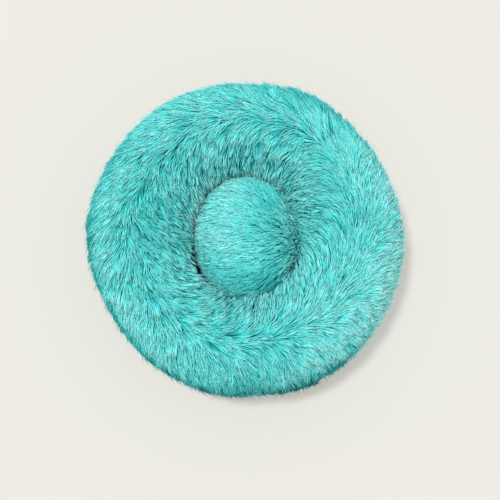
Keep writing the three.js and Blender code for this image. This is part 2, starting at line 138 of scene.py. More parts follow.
def ways_round(azimuth):
    """Directions outwards and anticlockwise round the middle, at azimuths in radians."""
    east, north, level = np.cos(azimuth), np.sin(azimuth), np.zeros_like(azimuth)
    return np.stack([east, north, level], -1), np.stack([-north, east, level], -1)


def round_points(r, azimuth, z):
    """Points at radii, azimuths in radians and heights."""
    return np.stack(np.broadcast_arrays(r * np.cos(azimuth), r * np.sin(azimuth), z), -1)


def laid(way, normals):
    """A direction laid down on a surface that has these normals."""
    return unit(way - normals * (way * normals).sum(-1, keepdims=True))


def turned(way, normals, turn):
    """A direction turned about the normal by an angle in radians."""
    return way * np.cos(turn)[..., None] + np.cross(normals, way) * np.sin(turn)[..., None]


def across(path, ups):
    """Directions to the side of a path and up from it, at each of its points."""
    along = unit(np.gradient(path, axis=-2))
    side = unit(np.cross(along, ups))
    return side, np.cross(side, along)


def round_table(values, azimuth):
    """A closed row of values at even azimuths, read smoothly at any azimuth in degrees."""
    values = np.asarray(values, float)
    place = (azimuth / 360.0) % 1.0 * len(values)
    first = np.floor(place).astype(int)
    t = place - first
    a, b, c, d = (values[(first + k) % len(values)] for k in (-1, 0, 1, 2))
    return b + 0.5 * t * (c - a + t * (2 * a - 5 * b + 4 * c - d + t * (3 * (b - c) + d - a)))


def degrees_past(azimuth, start):
    """Signed degrees from an azimuth, from -180 to 180."""
    return (azimuth - start + 180.0) % 360.0 - 180.0


def polar(node):
    """A node's points, as azimuths in degrees, radii and heights."""
    points = np.array([v.co[:] for v in NODES[node].data.vertices])
    azimuth = np.degrees(np.arctan2(points[:, 1], points[:, 0])) % 360
    return azimuth, np.hypot(points[:, 0], points[:, 1]), points[:, 2]


class Ripple:
    """A smooth random field in space, with a mean of 0 and a spread of about 1."""

    def __init__(self, wavelength, waves=9):
        self.ways = unit(rng.normal(0, 1, (waves, 3))) * math.tau / wavelength
        self.ways *= rng.uniform(0.7, 1.3, (waves, 1))
        self.phases = rng.uniform(0, math.tau, waves)

    def __call__(self, points):
        return np.sin(points @ self.ways.T + self.phases).sum(-1) * math.sqrt(2 / len(self.phases))


# Soft surfaces.
class Skin:
    """The smooth outside and inside of a round soft shell, read by azimuth and section angle.

    A point is the core circle, of some radius and height, plus a reach along the section angle:
    0 points outwards, 90 up and 180 to the middle.
    """

    azimuths = 240
    section_step = 3.0  # degrees
    closing_rounds = 12
    wrap_margin = 0.6  # radians below the first section angle, past which a turn is added

    def __init__(self, names, core_radius, core_height, first_angle, last_angle, far, rounds):
        self.radius, self.height = core_radius, core_height
        self.angles = np.radians(np.arange(first_angle, last_angle + 1e-6, self.section_step))
        tree = self.tree_of(names)
        reach = np.full((self.azimuths, len(self.angles)), np.nan)
        lining = reach.copy()
        for i in range(self.azimuths):
            azimuth = (i + 0.5) / self.azimuths * math.tau
            out = Vector((math.cos(azimuth), math.sin(azimuth), 0))
            core = out * core_radius + Vector((0, 0, core_height))
            for j, angle in enumerate(self.angles):
                way = out * math.cos(angle) + Vector((0, 0, math.sin(angle)))
                hit = tree.ray_cast(core + way * far, -way)[0]
                if hit and (hit - core).dot(way) > 0:
                    reach[i, j] = (hit - core).length
                hit = tree.ray_cast(core, way)[0]
                if hit:
                    lining[i, j] = (hit - core).length
        self.reach = self.smoothed(self.filled(reach), rounds)
        self.lining = self.smoothed(self.filled(lining), rounds)

    @staticmethod
    def tree_of(names):
        verts, faces = [], []
        for name in names:
            mesh = NODES[name].data
            start = len(verts)
            verts += [v.co.copy() for v in mesh.vertices]
            faces += [[start + k for k in p.vertices] for p in mesh.polygons]
        return BVHTree.FromPolygons(verts, faces)

    def filled(self, reach):
        """Narrow gaps are closed from both sides, and the surface runs on past its ends."""
        for _ in range(self.closing_rounds):
            around = np.stack([np.roll(reach, k, axis=0) for k in (-1, 1)])
            known = ~np.isnan(around)
            total = np.where(known, around, 0).sum(axis=0)
            fill = np.isnan(reach) & known.any(axis=0)
            reach = np.where(fill, total / np.maximum(known.sum(axis=0), 1), reach)
        columns = np.where(~np.isnan(reach).any(axis=0))[0]
        first, last = columns[0], columns[-1]
        for j in range(first - 1, -1, -1):
            reach[:, j] = 2 * reach[:, j + 1] - reach[:, j + 2]
        for j in range(last + 1, reach.shape[1]):
            reach[:, j] = 2 * reach[:, j - 1] - reach[:, j - 2]
        return reach

    @staticmethod
    def smoothed(reach, rounds):
        for _ in range(rounds):
            reach = 0.5 * reach + 0.25 * (np.roll(reach, 1, axis=0) + np.roll(reach, -1, axis=0))
            inner = 0.5 * reach[:, 1:-1] + 0.25 * (reach[:, :-2] + reach[:, 2:])
            reach = np.concatenate([reach[:, :1], inner, reach[:, -1:]], axis=1)
        return reach

    def locate(self, points):
        """Azimuth and section angle, in radians."""
        azimuth = np.arctan2(points[..., 1], points[..., 0])
        outwards = np.hypot(points[..., 0], points[..., 1]) - self.radius
        angle = np.arctan2(points[..., 2] - self.height, outwards)
        angle = np.where(angle < self.angles[0] - self.wrap_margin, angle + math.tau, angle)
        return azimuth, np.clip(angle, self.angles[0], self.angles[-1])

    def read(self, grid, azimuth, angle):
        a = azimuth / math.tau * self.azimuths - 0.5
        b = (angle - self.angles[0]) / (self.angles[1] - self.angles[0])
        b = np.clip(b, 0, len(self.angles) - 1.000001)
        a0, b0 = np.floor(a).astype(int), np.floor(b).astype(int)
        s, t = a - a0, b - b0
        a0, a1 = a0 % self.azimuths, (a0 + 1) % self.azimuths
        low = grid[a0, b0] * (1 - s) + grid[a1, b0] * s
        high = grid[a0, b0 + 1] * (1 - s) + grid[a1, b0 + 1] * s
        return low * (1 - t) + high * t

    def point(self, azimuth, angle, depth=0.0):
        reach = self.read(self.reach, azimuth, angle) - depth
        return round_points(self.radius + reach * np.cos(angle), azimuth, self.height + reach * np.sin(angle))

    def depth(self, azimuth, angle):
        """From the outside down to a backing that lies on the inside."""
        thick = self.read(self.reach, azimuth, angle) - self.read(self.lining, azimuth, angle)
        return np.maximum(thick - BACKING_THICKNESS - BACKING_GAP, 2 * BACKING_THICKNESS)

    def normal(self, azimuth, angle):
        da, db = math.radians(2.0), math.radians(3.0)
        along = self.point(azimuth + da, angle) - self.point(azimuth - da, angle)
        up = np.minimum(angle + db, self.angles[-1])
        down = np.maximum(angle - db, self.angles[0])
        return unit(np.cross(along, self.point(azimuth, up) - self.point(azimuth, down)))

    def project(self, points):
        azimuth, angle = self.locate(points)
        return self.point(azimuth, angle), self.normal(azimuth, angle), azimuth, angle


class Pad(Skin):
    """The same for the pad, whose section turns about its own axis and closes at the top."""

    def normal(self, azimuth, angle):
        core = np.array([0, 0, self.height])
        here = self.point(azimuth, angle)
        east = unit(ways_round(azimuth)[1])
        south = np.cross(east, unit(here - core))
        near = np.linalg.norm(here - core, axis=-1, keepdims=True) * math.radians(2.5)

        def moved(way):
            return self.point(*self.locate(here + way * near))

        return unit(np.cross(moved(south) - moved(-south), moved(east) - moved(-east)))


ring = Skin(
    ("ring_cover_long", "ring_cover_short"), RING_CORE_RADIUS, RING_CORE_HEIGHT,
    first_angle=-54, last_angle=228, far=0.150, rounds=1,
)
pad = Pad(
    ("centre_top",), 0.0, PAD_CORE_HEIGHT,
    first_angle=-21, last_angle=90, far=0.250, rounds=3,
)


def ring_depth(azimuth, angle):
    """How deep the ring's backing lies: it comes up to its two sewn edges."""
    section = np.degrees(angle)
    sewn = np.maximum(smoothstep(-25, -44, section) * 0.4, smoothstep(200, 226, section) * 0.75)
    return ring.depth(azimuth, angle) * (1 - sewn)


def pad_depth(azimuth, angle):
    return pad.depth(azimuth, angle) * (1 - 0.75 * smoothstep(0, -20, np.degrees(angle)))


# Lie of the ring's pile, every 30 degrees of azimuth from the right of the photograph.
PARTING_DEGREES = [91, 85, 81, 85, 86, 84, 83, 92, 95, 89, 90, 92]
OUTER_TURN_DEGREES = [60, 58, 48, 43, 36, 42, 56, 56, 58, 74, 90, 70]
INNER_TURN_DEGREES = [55, 62, 94, 97, 70, 56, 62, 22, 60, 70, 60, 31]
PARTING_WIDTH_DEGREES = 28.0
FAN_WIDTH_DEGREES = 11.0  # the parting is this narrow where a length of plush starts
FAN_DEGREES = 13.0  # of azimuth, over which it widens
SWAY_DEGREES = 5

sway = Ripple(70 * MM)


def ring_flow(points, normals, azimuth, angle):
    """Round the crown anticlockwise, then away from it down both sides."""
    degrees_round = np.degrees(azimuth)
    parting = round_table(PARTING_DEGREES, degrees_round)
    past = np.stack([degrees_past(degrees_round, s) for s in (FIRST_SEAM, SECOND_SEAM)])
    fan = np.where(past >= 0, 1 - smoothstep(0, FAN_DEGREES, past), 0).max(axis=0)
    width = mix(PARTING_WIDTH_DEGREES, FAN_WIDTH_DEGREES, fan)
    from_crown = np.tanh((np.degrees(angle) - parting) / width)
    inner = round_table(INNER_TURN_DEGREES, degrees_round)
    outer = round_table(OUTER_TURN_DEGREES, degrees_round)
    turn = np.radians(np.where(from_crown > 0, inner, outer) * from_crown + SWAY_DEGREES * sway(points))
    return turned(laid(ways_round(azimuth)[1], normals), normals, turn)


PAD_PARTING = np.array([125 * MM, 4 * MM, 0.0])
LEFT, RISE = np.array([-1.2, 0.0, 0.0]), np.array([0.0, 0.0, 1.1])  # directions and their weights


def pad_flow(points, normals, azimuth, angle):
    """Away from a place to the right of the pad, then to the left, and up at the right edge."""
    away = (points - PAD_PARTING) * np.array([1, 1, 0])
    away[..., 1] *= smoothstep(86 * MM, 48 * MM, points[..., 0])
    distance = np.linalg.norm(away, axis=-1, keepdims=True)
    way = unit(away) + LEFT * smoothstep(30 * MM, 160 * MM, distance)
    return laid(way + RISE * smoothstep(35 * MM, 75 * MM, points[..., :1]), normals)


# Pile.
def scattered(skin, spacing, first_angle, last_angle):
    """Even but irregular places on a skin, as azimuths and section angles in radians."""
    angles = np.radians(np.linspace(first_angle, last_angle, 400))
    all_round = np.radians(np.arange(0, 360, 15.0))
    sampled = np.array([skin.point(all_round, np.full_like(all_round, a)) for a in angles])
    r = np.hypot(sampled[..., 0], sampled[..., 1]).mean(axis=1)
    z = sampled[..., 2].mean(axis=1)
    run = np.concatenate([[0], np.cumsum(np.hypot(np.diff(r), np.diff(z)))])
    azimuths, places = [], []
    for k in range(int(run[-1] / spacing)):
        along = (k + 0.5) * spacing
        count = max(1, int(math.tau * np.interp(along, run, r) / spacing))
        columns = np.arange(count) + rng.uniform(0, 1) + rng.uniform(-SCATTER, SCATTER, count)
        azimuths.append(columns / count * math.tau)
        places.append(np.interp(along + rng.uniform(-SCATTER, SCATTER, count) * spacing, run, angles))
    return np.concatenate(azimuths), np.concatenate(places)


def nearest(points, others):
    tree = KDTree(len(others))
    for i, p in enumerate(others):
        tree.insert(p, i)
    tree.balance()
    return np.array([tree.find(p)[1] for p in points])


def lock_paths(skin, flow, depth_at, azimuth, angle, lock):
    """Points and normals at each station of locks that lie along a flow on a skin."""
    here, normals = skin.point(azimuth, angle), skin.normal(azimuth, angle)
    root = depth_at(azimuth, angle)
    path, ups = [], []
    for k, share in enumerate(STATIONS):
        if k:
            way = turned(flow(here, normals, azimuth, angle), normals, lock["turn"] + lock["bend"] * share)
            step = lock["length"] * (share - STATIONS[k - 1])
            here, normals, azimuth, angle = skin.project(here + way * step[..., None])
        lift = -root + (root + lock["height"]) * (1 - (1 - share) ** lock["power"]) + lock["tip"] * share**3
        path.append(here + normals * lift[..., None])
        ups.append(normals)
    return np.stack(path, 1), np.stack(ups, 1)


def shares_inside(path, allowed):
    """The share of each lock's length that stays where it is allowed."""
    fine = np.linspace(0, 1, 25)
    first = np.clip(np.searchsorted(STATIONS, fine, side="right") - 1, 0, len(STATIONS) - 2)
    t = ((fine - STATIONS[first]) / (STATIONS[first + 1] - STATIONS[first]))[None, :, None]
    outside = ~allowed(path[:, first] * (1 - t) + path[:, first + 1] * t)
    return np.where(outside.any(axis=1), fine[outside.argmax(axis=1)], 1.0)


# Where the pile may not go: down to the floor, into the slider's way, over the slits where it
# parts at the cross seams, and into the trench round the pad.
SLITS = (  # each from and to a place in plan, and half its width
    ((122.0 * MM, 135.5 * MM), (140.5 * MM, 151.5 * MM), 0.5 * MM),
    ((12.5 * MM, -112.0 * MM), (11.0 * MM, -136.0 * MM), 0.3 * MM),
)
TRENCH_WIDTH = 14 * MM
TRENCH_HEIGHTS = [44, 62, 66, 64, 66, 70, 76, 96, 102, 100, 88, 92]  # mm, every 30 degrees
PAD_RIGHT = 30 * MM
PAD_FEET = (36 * MM, 52 * MM)  # how low the pad's pile hangs, to the right of PAD_RIGHT and elsewhere
zip_azimuths = polar("zip_tape_upper")[0]
ZIP_START, ZIP_END = float(zip_azimuths.min()), float(zip_azimuths.max())


def off_line(places, start, end):
    """Distance in plan from the line between two places."""
    start, end = np.array(start), np.array(end)
    along = np.clip(((places - start) @ (end - start)) / ((end - start) @ (end - start)), 0, 1)
    return np.linalg.norm(places - start - along[..., None] * (end - start), axis=-1)


def ring_allowed(points):
    x, y, z = points[..., 0], points[..., 1], points[..., 2]
    azimuth = np.degrees(np.arctan2(y, x)) % 360
    r = np.hypot(x, y)
    over_zip = (azimuth > ZIP_START - ZIP_MARGIN_DEGREES) & (azimuth < ZIP_END + ZIP_MARGIN_DEGREES)
    clear = z > np.where(over_zip & (r > RING_CORE_RADIUS), ZIP_CLEAR_HEIGHT, PILE_FOOT)
    for start, end, half_width in SLITS:
        clear &= (off_line(points[..., :2], start, end) > half_width) | (z < RING_CORE_HEIGHT)
    wall = ring.radius - ring.read(ring.reach, np.radians(azimuth), np.full_like(azimuth, math.pi))
    trench = (r < wall + TRENCH_WIDTH) & (z < round_table(TRENCH_HEIGHTS, azimuth) * MM)
    return clear & ~trench


def pad_allowed(points):
    return points[..., 2] > np.where(points[..., 0] > PAD_RIGHT, *PAD_FEET)


shade = Ripple(60 * MM)
twist = Ripple(28 * MM)


def chance(share, count):
    return rng.uniform(0, 1, count) < share


def tuft_guides(skin, angles, zone, size):
    """A lock in the middle of each tuft: its azimuth, section angle and root, and how it lies."""
    azimuth, angle = scattered(skin, TUFT_SPACING * size, *angles)
    stubby = zone(azimuth, angle, skin.point(azimuth, angle))[0]
    wanted = chance(mix(BROAD_TUFT_SHARE, 1.0, stubby), len(stubby))
    azimuth, angle = azimuth[wanted], angle[wanted]
    roots = skin.point(azimuth, angle)
    stubby, height, _, _ = zone(azimuth, angle, roots)
    count = len(azimuth)
    uneven = rng.uniform(-1, 1, count) * mix(*SLEEK_STUBBY_UNEVENNESS, stubby)
    length = LOCK_LENGTH * size * mix(*SLEEK_STUBBY_LENGTHS, stubby)
    return azimuth, angle, roots, {
        "length": length * rng.uniform(*TUFT_LENGTHS, count),
        "height": height + uneven * MM,
        "turn": np.radians(rng.normal(0, TUFT_TURN, count) + TUFT_TWIST * twist(roots)),
        "bend": np.radians(rng.normal(0, TUFT_BEND, count)),
        "power": np.full(count, TUFT_POWER),
        "tip": np.where(chance(RAISED_TIP_SHARE, count), rng.uniform(*RAISED_TIPS, count), 0) * MM,
    }


def pile(skin, flow, depth_at, allowed, spacing, angles, zone, size):
    """Locks of pile drawn together in tufts: their paths, normals, widths and tones.

    zone gives, for roots at some azimuths and section angles, how stubby and parted the pile is
    there (0 sleek to 1 stubby), the change of its height, the tone and how much that varies.
    """
    azimuth, angle = scattered(skin, spacing, *angles)
    guide_azimuth, guide_angle, guide_roots, guide = tuft_guides(skin, angles, zone, size)
    guide_path, _ = lock_paths(skin, flow, depth_at, guide_azimuth, guide_angle, guide)
    roots, count = skin.point(azimuth, angle), len(azimuth)
    tuft = nearest(roots, guide_roots)
    stubby, height, tone, contrast = zone(azimuth, angle, roots)
    lock = {
        "length": guide["length"][tuft] * rng.uniform(*LOCK_LENGTHS, count),
        "height": guide["height"][tuft] + rng.uniform(-1, 1, count) * LOCK_UNEVENNESS,
        "turn": guide["turn"][tuft] + np.radians(rng.normal(0, LOCK_TURN, count)),
        "bend": guide["bend"][tuft] + np.radians(rng.normal(0, LOCK_BEND, count)),
        "power": rng.uniform(*LOCK_POWERS, count),
        "tip": np.zeros(count),
    }
    stray = chance(STRAY_SHARE, count)
    lock["height"] += np.where(stray, rng.uniform(*STRAY_RISES, count) * MM * size, 0)
    lock["tip"] += np.where(stray, rng.uniform(*STRAY_TIPS, count) * MM * size, 0)
    lock["bend"] += np.where(stray, np.radians(rng.normal(0, STRAY_BEND, count)), 0)
    pull = mix(rng.uniform(*SLEEK_PULLS, count), rng.uniform(*STUBBY_PULLS, count), stubby)
    pull = (pull * np.where(stray, STRAY_PULL, 1))[:, None]
    pull = pull * STATIONS[None, :] ** mix(*SLEEK_STUBBY_PULL_POWERS, stubby)[:, None]

    def drawn():
        path, ups = lock_paths(skin, flow, depth_at, azimuth, angle, lock)
        path = path + pull[..., None] * (guide_path[tuft] - path)
        return path, ups, shares_inside(path, allowed)

    _, _, inside = drawn()
    lock["length"] = lock["length"] * np.where(inside < 1, inside * CUT_BACK, 1)
    pull = pull * np.where(inside < 1, inside, 1)[:, None]
    path, ups, inside = drawn()
    kept = (lock["length"] > LEAST_LOCK_LENGTH) & (inside > LEAST_SHARE_INSIDE)
    kept &= rng.uniform(0, 1, count) > THINNED_SHARE * stubby
    # Painted light on locks over the pile's height and painted shade on those under it.
    over = (lock["height"] - height) / MM
    risen_light_shade = over * np.where(over > 0, *RISE_LIGHT_SHADE_TONES)
    own = rng.normal(0, OWN_TONE, count)
    own = np.where(own > 0, *PALER_DARKER) * own
    tone = tone + contrast * (risen_light_shade + own) + SHADE_TONE * shade(roots)
    made = {
        "path": path,
        "ups": ups,
        "tone": np.clip(tone + STRAY_TONE * stray, *TONE_LIMITS),
        "width": LOCK_WIDTH * size * rng.uniform(*LOCK_WIDTHS, count) * np.where(stray, STRAY_WIDTH, 1),
        "azimuth": np.degrees(azimuth) % 360,
    }
    return {k: v[kept] for k, v in made.items()}


SEAM_DIP_REACH = (0.5 * MM, 6 * MM)  # off the seam: where it starts to fade, and its edge


def seam_dip(degrees_round, radius):
    """1 on a cross seam, falling to 0 at the dip's edge."""
    away = np.stack([np.abs(degrees_past(degrees_round, s)) for s in (FIRST_SEAM, SECOND_SEAM)])
    return 1 - smoothstep(*SEAM_DIP_REACH, np.radians(away.min(axis=0)) * radius)


# The ring's tone every 30 degrees of azimuth, from the right of the photograph: the crown's, partly
# its own colour and partly painted light and shade, and how much paler its outer side (painted
# sheen and light), its lowest edge (painted shade, so mostly darker) and the wall beside the pad
# (painted light against the trench's shade) are.
CROWN_TONE_AND_LIGHT_SHARES = [0.45, 0.50, 0.50, 0.50, 0.50, 0.43, 0.41, 0.48, 0.48, 0.51, 0.54, 0.53]
OUTER_PAINTED_LIGHT_SHARES = [0.29, 0.19, 0.00, 0.11, 0.15, 0.21, 0.25, 0.17, 0.14, -0.06, 0.14, 0.28]
EDGE_PAINTED_SHADE_SHARES = [-0.06, -0.22, -0.20, -0.20, -0.22, -0.30, -0.46, -0.47, -0.54, -0.32, -0.66, -0.08]
WALL_PAINTED_LIGHT_SHARES = [-0.10, 0.00, 0.27, 0.46, 0.53, 0.44, 0.34, 0.12, 0.30, 0.41, 0.12, -0.10]

# How much higher, in mm, the pile stands on the ring's outer side and at the pad's edge.
OUTER_RISES = [0, 0, -1.5, -2, -2, -1, -1.5, -3, -5, -4, -2, 0]
PAD_EDGE_RISES = [4, 7, 11, 12, 11, 8, 3, -4, -5, -2, 4, 2]
WALL_SINK = 1.5 * MM
SEAM_SINK = 3.5 * MM

# How strongly each lock's own random tone and its painted light and shade by height show.
CROWN_CONTRAST, OUTER_CONTRAST, INNER_CONTRAST, WALL_CONTRAST = 0.9, 0.5, 1.5, 0.8
PAD_CONTRASTS = (0.6, 0.8)  # on the left and on the right
# Painted shade on the pad's right and front, where the light from the upper left falls least, and painted
# light on its steep right edge, which lies in shade.
PAD_TONE, RIGHT_PAINTED_SHADE, FRONT_PAINTED_SHADE, RIGHT_EDGE_PAINTED_LIGHT = 0.69, 0.26, 0.29, 0.24
PAD_STUBBY, RIGHT_STUBBIER = 0.15, 0.3
PAD_RISES = (-1.0, 0.5)  # mm, on the left and on the right


def ring_zone(azimuth, angle, roots):
    """What pile() asks of the ring: its places are told apart by section angles in degrees."""
    section, degrees_round = np.degrees(angle), np.degrees(azimuth)
    seen = section - (90 - CAMERA_ELEVATION) * np.sin(azimuth)  # as the camera's tilt shows it
    inner = smoothstep(92, 132, section)
    dip = seam_dip(degrees_round, np.hypot(roots[:, 0], roots[:, 1]))
    height = -WALL_SINK * smoothstep(140, 172, section) - SEAM_SINK * dip
    height += round_table(OUTER_RISES, degrees_round) * MM * smoothstep(50, 15, section)
    # Painted light and shade: the crown's tone, painted sheen on the outer side, painted shade on the lowest
    # edge as the camera sees it and painted light on the wall beside the pad.
    tone = round_table(CROWN_TONE_AND_LIGHT_SHARES, degrees_round)
    for shares, place in (
        (OUTER_PAINTED_LIGHT_SHARES, smoothstep(98, 52, section)),
        (EDGE_PAINTED_SHADE_SHARES, smoothstep(70, 40, seen)),
        (WALL_PAINTED_LIGHT_SHARES, smoothstep(135, 165, section)),
    ):
        tone = tone + round_table(shares, degrees_round) * place
    contrast = mix(CROWN_CONTRAST, OUTER_CONTRAST, smoothstep(75, 28, section))
    contrast = mix(mix(contrast, INNER_CONTRAST, inner), WALL_CONTRAST, smoothstep(132, 158, section))
    return inner, height, tone, contrast


def pad_zone(azimuth, angle, roots):
    """The same for the pad, darker on the right and at the front of the photograph, as painted shade."""
    x, y, section = roots[:, 0], roots[:, 1], np.degrees(angle)
    right = smoothstep(-10 * MM, 75 * MM, x + 0.1 * y)
    front = smoothstep(-22 * MM, -82 * MM, y)
    right_edge = smoothstep(55 * MM, 82 * MM, x)
    edge = smoothstep(60, 25, section) * smoothstep(-8, 6, section)
    rise = round_table(PAD_EDGE_RISES, np.degrees(azimuth))
    height = (mix(*PAD_RISES, right) + rise * edge) * MM
    # Painted shade on the right and at the front, painted light on the right edge.
    tone = PAD_TONE - RIGHT_PAINTED_SHADE * right - FRONT_PAINTED_SHADE * front + RIGHT_EDGE_PAINTED_LIGHT * right_edge
    return PAD_STUBBY + RIGHT_STUBBIER * right, height, tone, mix(*PAD_CONTRASTS, right)


def tipped_faces(rings, sides):
    """Faces of rings of corners that end in a tip: four-sided ones, then the tip's and the foot."""
    quads = [
        (i + k, i + (k + 1) % sides, i + sides + (k + 1) % sides, i + sides + k)
        for i in range(0, (rings - 1) * sides, sides)
        for k in range(sides)
    ]
    last = (rings - 1) * sides
    tips = [(last + k, last + (k + 1) % sides, rings * sides) for k in range(sides)]
    return quads, tips, tuple(reversed(range(sides)))


def lock_template():
    """One lock's four-sided and three-sided faces, and the UVs of their corners."""
    heights = STATIONS * (1 - 2 * UV_END_GAP) + UV_END_GAP
    quads, tips, foot = tipped_faces(len(STATIONS) - 1, LOCK_SIDES)
    uv = [
        (k + right, heights[i + up])
        for i in range(len(STATIONS) - 2)
        for k in range(LOCK_SIDES)
        for right, up in ((0, 0), (1, 0), (1, 1), (0, 1))
    ]
    for k in range(LOCK_SIDES):
        uv += [(k, heights[-2]), (k + 1, heights[-2]), (k + 0.5, heights[-1])]
    uv += [(2, heights[0]), (1, heights[0]), (1.5, heights[0] + 0.01)]
    return np.array(quads), np.array([*tips, foot]), np.array(uv)


def locks_mesh(name, locks, chosen, mat):
    """One closed three-sided tapered form for each lock, with its tone and height as UVs."""
    path, ups, width, tone = (locks[k][chosen] for k in ("path", "ups", "width", "tone"))
    count, rings = len(path), len(STATIONS) - 1
    side, up = across(path, ups)
    roll = rng.normal(0, LOCK_ROLL, count)[:, None, None]
    side, up = side * np.cos(roll) + up * np.sin(roll), up * np.cos(roll) - side * np.sin(roll)
    half = (width[:, None] * STATION_WIDTH_SHARES[None, :] / 2)[..., None]
    wide, high = LOCK_SECTION
    corners = []
    for k in range(LOCK_SIDES):
        a = math.radians(90 + 360 / LOCK_SIDES * k)
        corners.append(path + half * (side * math.cos(a) * wide + up * math.sin(a) * high))
    body = np.stack(corners, 2)[:, :rings]
    verts = np.concatenate([body.reshape(count, rings * LOCK_SIDES, 3), path[:, -1:]], axis=1)
    quads, tips, uv = lock_template()
    per = verts.shape[1]
    offset = (np.arange(count) * per)[:, None, None]
    corner_index = np.concatenate([(faces + offset).reshape(count, -1) for faces in (quads, tips)], 1)
    sizes = np.concatenate([np.full(len(faces), faces.shape[1]) for faces in (quads, tips)])
    uv = np.broadcast_to(uv, (count, *uv.shape)).copy()
    uv[..., 0] = tone[:, None] + uv[..., 0] * UV_SIDE_STEP
    starts = np.concatenate([[0], np.cumsum(np.tile(sizes, count))[:-1]])
    mesh = bpy.data.meshes.new(name)
    mesh.vertices.add(count * per)
    mesh.vertices.foreach_set("co", verts.ravel().astype(np.float32))
    mesh.loops.add(corner_index.size)
    mesh.loops.foreach_set("vertex_index", corner_index.ravel().astype(np.int32))
    mesh.polygons.add(len(starts))
    mesh.polygons.foreach_set("loop_start", starts.astype(np.int32))
    mesh.polygons.foreach_set("use_smooth", np.ones(len(starts), bool))
    chart = mesh.uv_layers.new(name="OFBake")
    chart.uv.foreach_set("vector", uv.reshape(-1).astype(np.float32))
    mesh.update(calc_edges=True)
    placed(name, mesh, mat)


# Pieces.
def in_scene(name, data):
    made = bpy.data.objects.new(name, data)
    bpy.context.scene.collection.objects.link(made)
    return made


def placed(name, mesh, mat, body="bed", node=None):
    """A piece that rides on a body and, where a node is given, is shown instead of it."""
    piece = in_scene(name, mesh)
    mesh.materials.append(mat)
    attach(piece, body)
    if node:
        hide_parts(node)
    return piece


def welded(mesh):
    """A mesh's shape with its corners shared, to be worked on."""
    shape = bmesh.new()
    shape.from_mesh(mesh)
    bmesh.ops.remove_doubles(shape, verts=shape.verts, dist=1e-6)
    return shape


def own_form(name, node):
    """A node's own mesh under another name, and its shape."""
    mesh = NODES[node].data.copy()
    mesh.name = name
    mesh.materials.clear()
    return mesh, welded(mesh)


def shaded(mesh, sharp_degrees, shape=None):
    """A mesh, with a shape that was worked on put back into it, shaded smooth between sharp edges."""
    if shape:
        shape.to_mesh(mesh)
        shape.free()
    mesh.polygons.foreach_set("use_smooth", [True] * len(mesh.polygons))
    mesh.set_sharp_from_angle(angle=math.radians(sharp_degrees))
    return mesh


def mesh_of(name, verts, faces, sharp_degrees=180.0, weld=False):
    mesh = bpy.data.meshes.new(name)
    mesh.from_pydata([tuple(v) for v in verts], [], [tuple(f) for f in faces])
    shape = None
    if weld:
        shape = welded(mesh)
        bmesh.ops.dissolve_degenerate(shape, edges=shape.edges, dist=1e-7)
    return shaded(mesh, sharp_degrees, shape)


def swept_faces(rows, points, whole=False):
    """Faces of a closed outline carried along rows, with its two ends closed if it isn't whole.

    The outline runs anticlockwise as seen by one whom it is carried away from.
    """
    faces = []
    for i in range(rows if whole else rows - 1):
        n = (i + 1) % rows
        for k in range(points):
            m = (k + 1) % points
            faces.append((i * points + k, n * points + k, n * points + m, i * points + m))
    if not whole:
        faces.append(tuple(range(points)))
        faces.append(tuple(reversed(range((rows - 1) * points, rows * points))))
    return faces


def revolved(name, sections, azimuths, whole, sharp_degrees=35.0):
    """Outlines of (radius, height) points, one for each azimuth in degrees, as one closed body."""
    verts = round_points(sections[..., 0], np.radians(azimuths)[:, None], sections[..., 1])
    faces = swept_faces(len(azimuths), sections.shape[1], whole)
    return mesh_of(name, verts.reshape(-1, 3), faces, sharp_degrees, weld=True)


def copies(name, template, faces, places, x_ways, y_ways, z_ways):
    """One body of many copies of a small closed form, each with its own place and axes."""
    template = np.asarray(template, float)
    moved = (
        places[:, None]
        + template[None, :, 0:1] * x_ways[:, None]
        + template[None, :, 1:2] * y_ways[:, None]
        + template[None, :, 2:3] * z_ways[:, None]
    )
    per = len(template)
    all_faces = [tuple(k + i * per for k in face) for i in range(len(places)) for face in faces]
    return mesh_of(name, moved.reshape(-1, 3), all_faces)


# Materials: each has its own weave, knit or grain in its nodes.
def set_inputs(node, values):
    for name, value in values.items():
        node.inputs[name].default_value = value
    return node


class Look:
    """A material in the making, and what its nodes are made with."""

    def __init__(self, name, roughness, color=(0.5, 0.5, 0.5), metallic=0.0):
        self.mat = bpy.data.materials.new(name)
        self.mat.use_nodes = True
        self.nodes, self.link = self.mat.node_tree.nodes, self.mat.node_tree.links.new
        self.shader = self.nodes["Principled BSDF"]
        set_inputs(self.shader, {"Roughness": roughness, "Metallic": metallic, "Base Color": (*color, 1)})

    def node(self, kind, **values):
        return set_inputs(self.nodes.new("ShaderNode" + kind), values)

    def ramp(self, value, stops):
        node = self.node("ValToRGB")
        elements = node.color_ramp.elements
        elements.remove(elements[1])
        for k, (place, color) in enumerate(stops):
            element = elements.new(place) if k else elements[0]
            element.position = place
            element.color = (*color, 1)
        self.link(value, node.inputs["Fac"])
        return node.outputs["Color"]

    def multiplied(self, a, b):
        node = self.node("Mix")
        node.data_type = "RGBA"
        node.blend_type = "MULTIPLY"
        node.inputs["Factor"].default_value = 1.0
        self.link(a, node.inputs[6])
        self.link(b, node.inputs[7])
        return node.outputs[2]

    def shades(self, value, colors, bump):
        """Colours along a value, and relief from the same value."""
        relief = self.node("Bump", Strength=0.6, Distance=bump)
        self.link(value, relief.inputs["Height"])
        self.link(relief.outputs["Normal"], self.shader.inputs["Normal"])
        return self.ramp(value, colors)

    def colored(self, color):
        """The material, finished."""
        self.link(color, self.shader.inputs["Base Color"])
        return self.mat


def around(color, variation):
    """Two tones a little darker and a little lighter than a colour."""
    low = tuple(c * (1 - variation) for c in color)
    return low, tuple(min(1.0, c * (1 + variation)) for c in color)


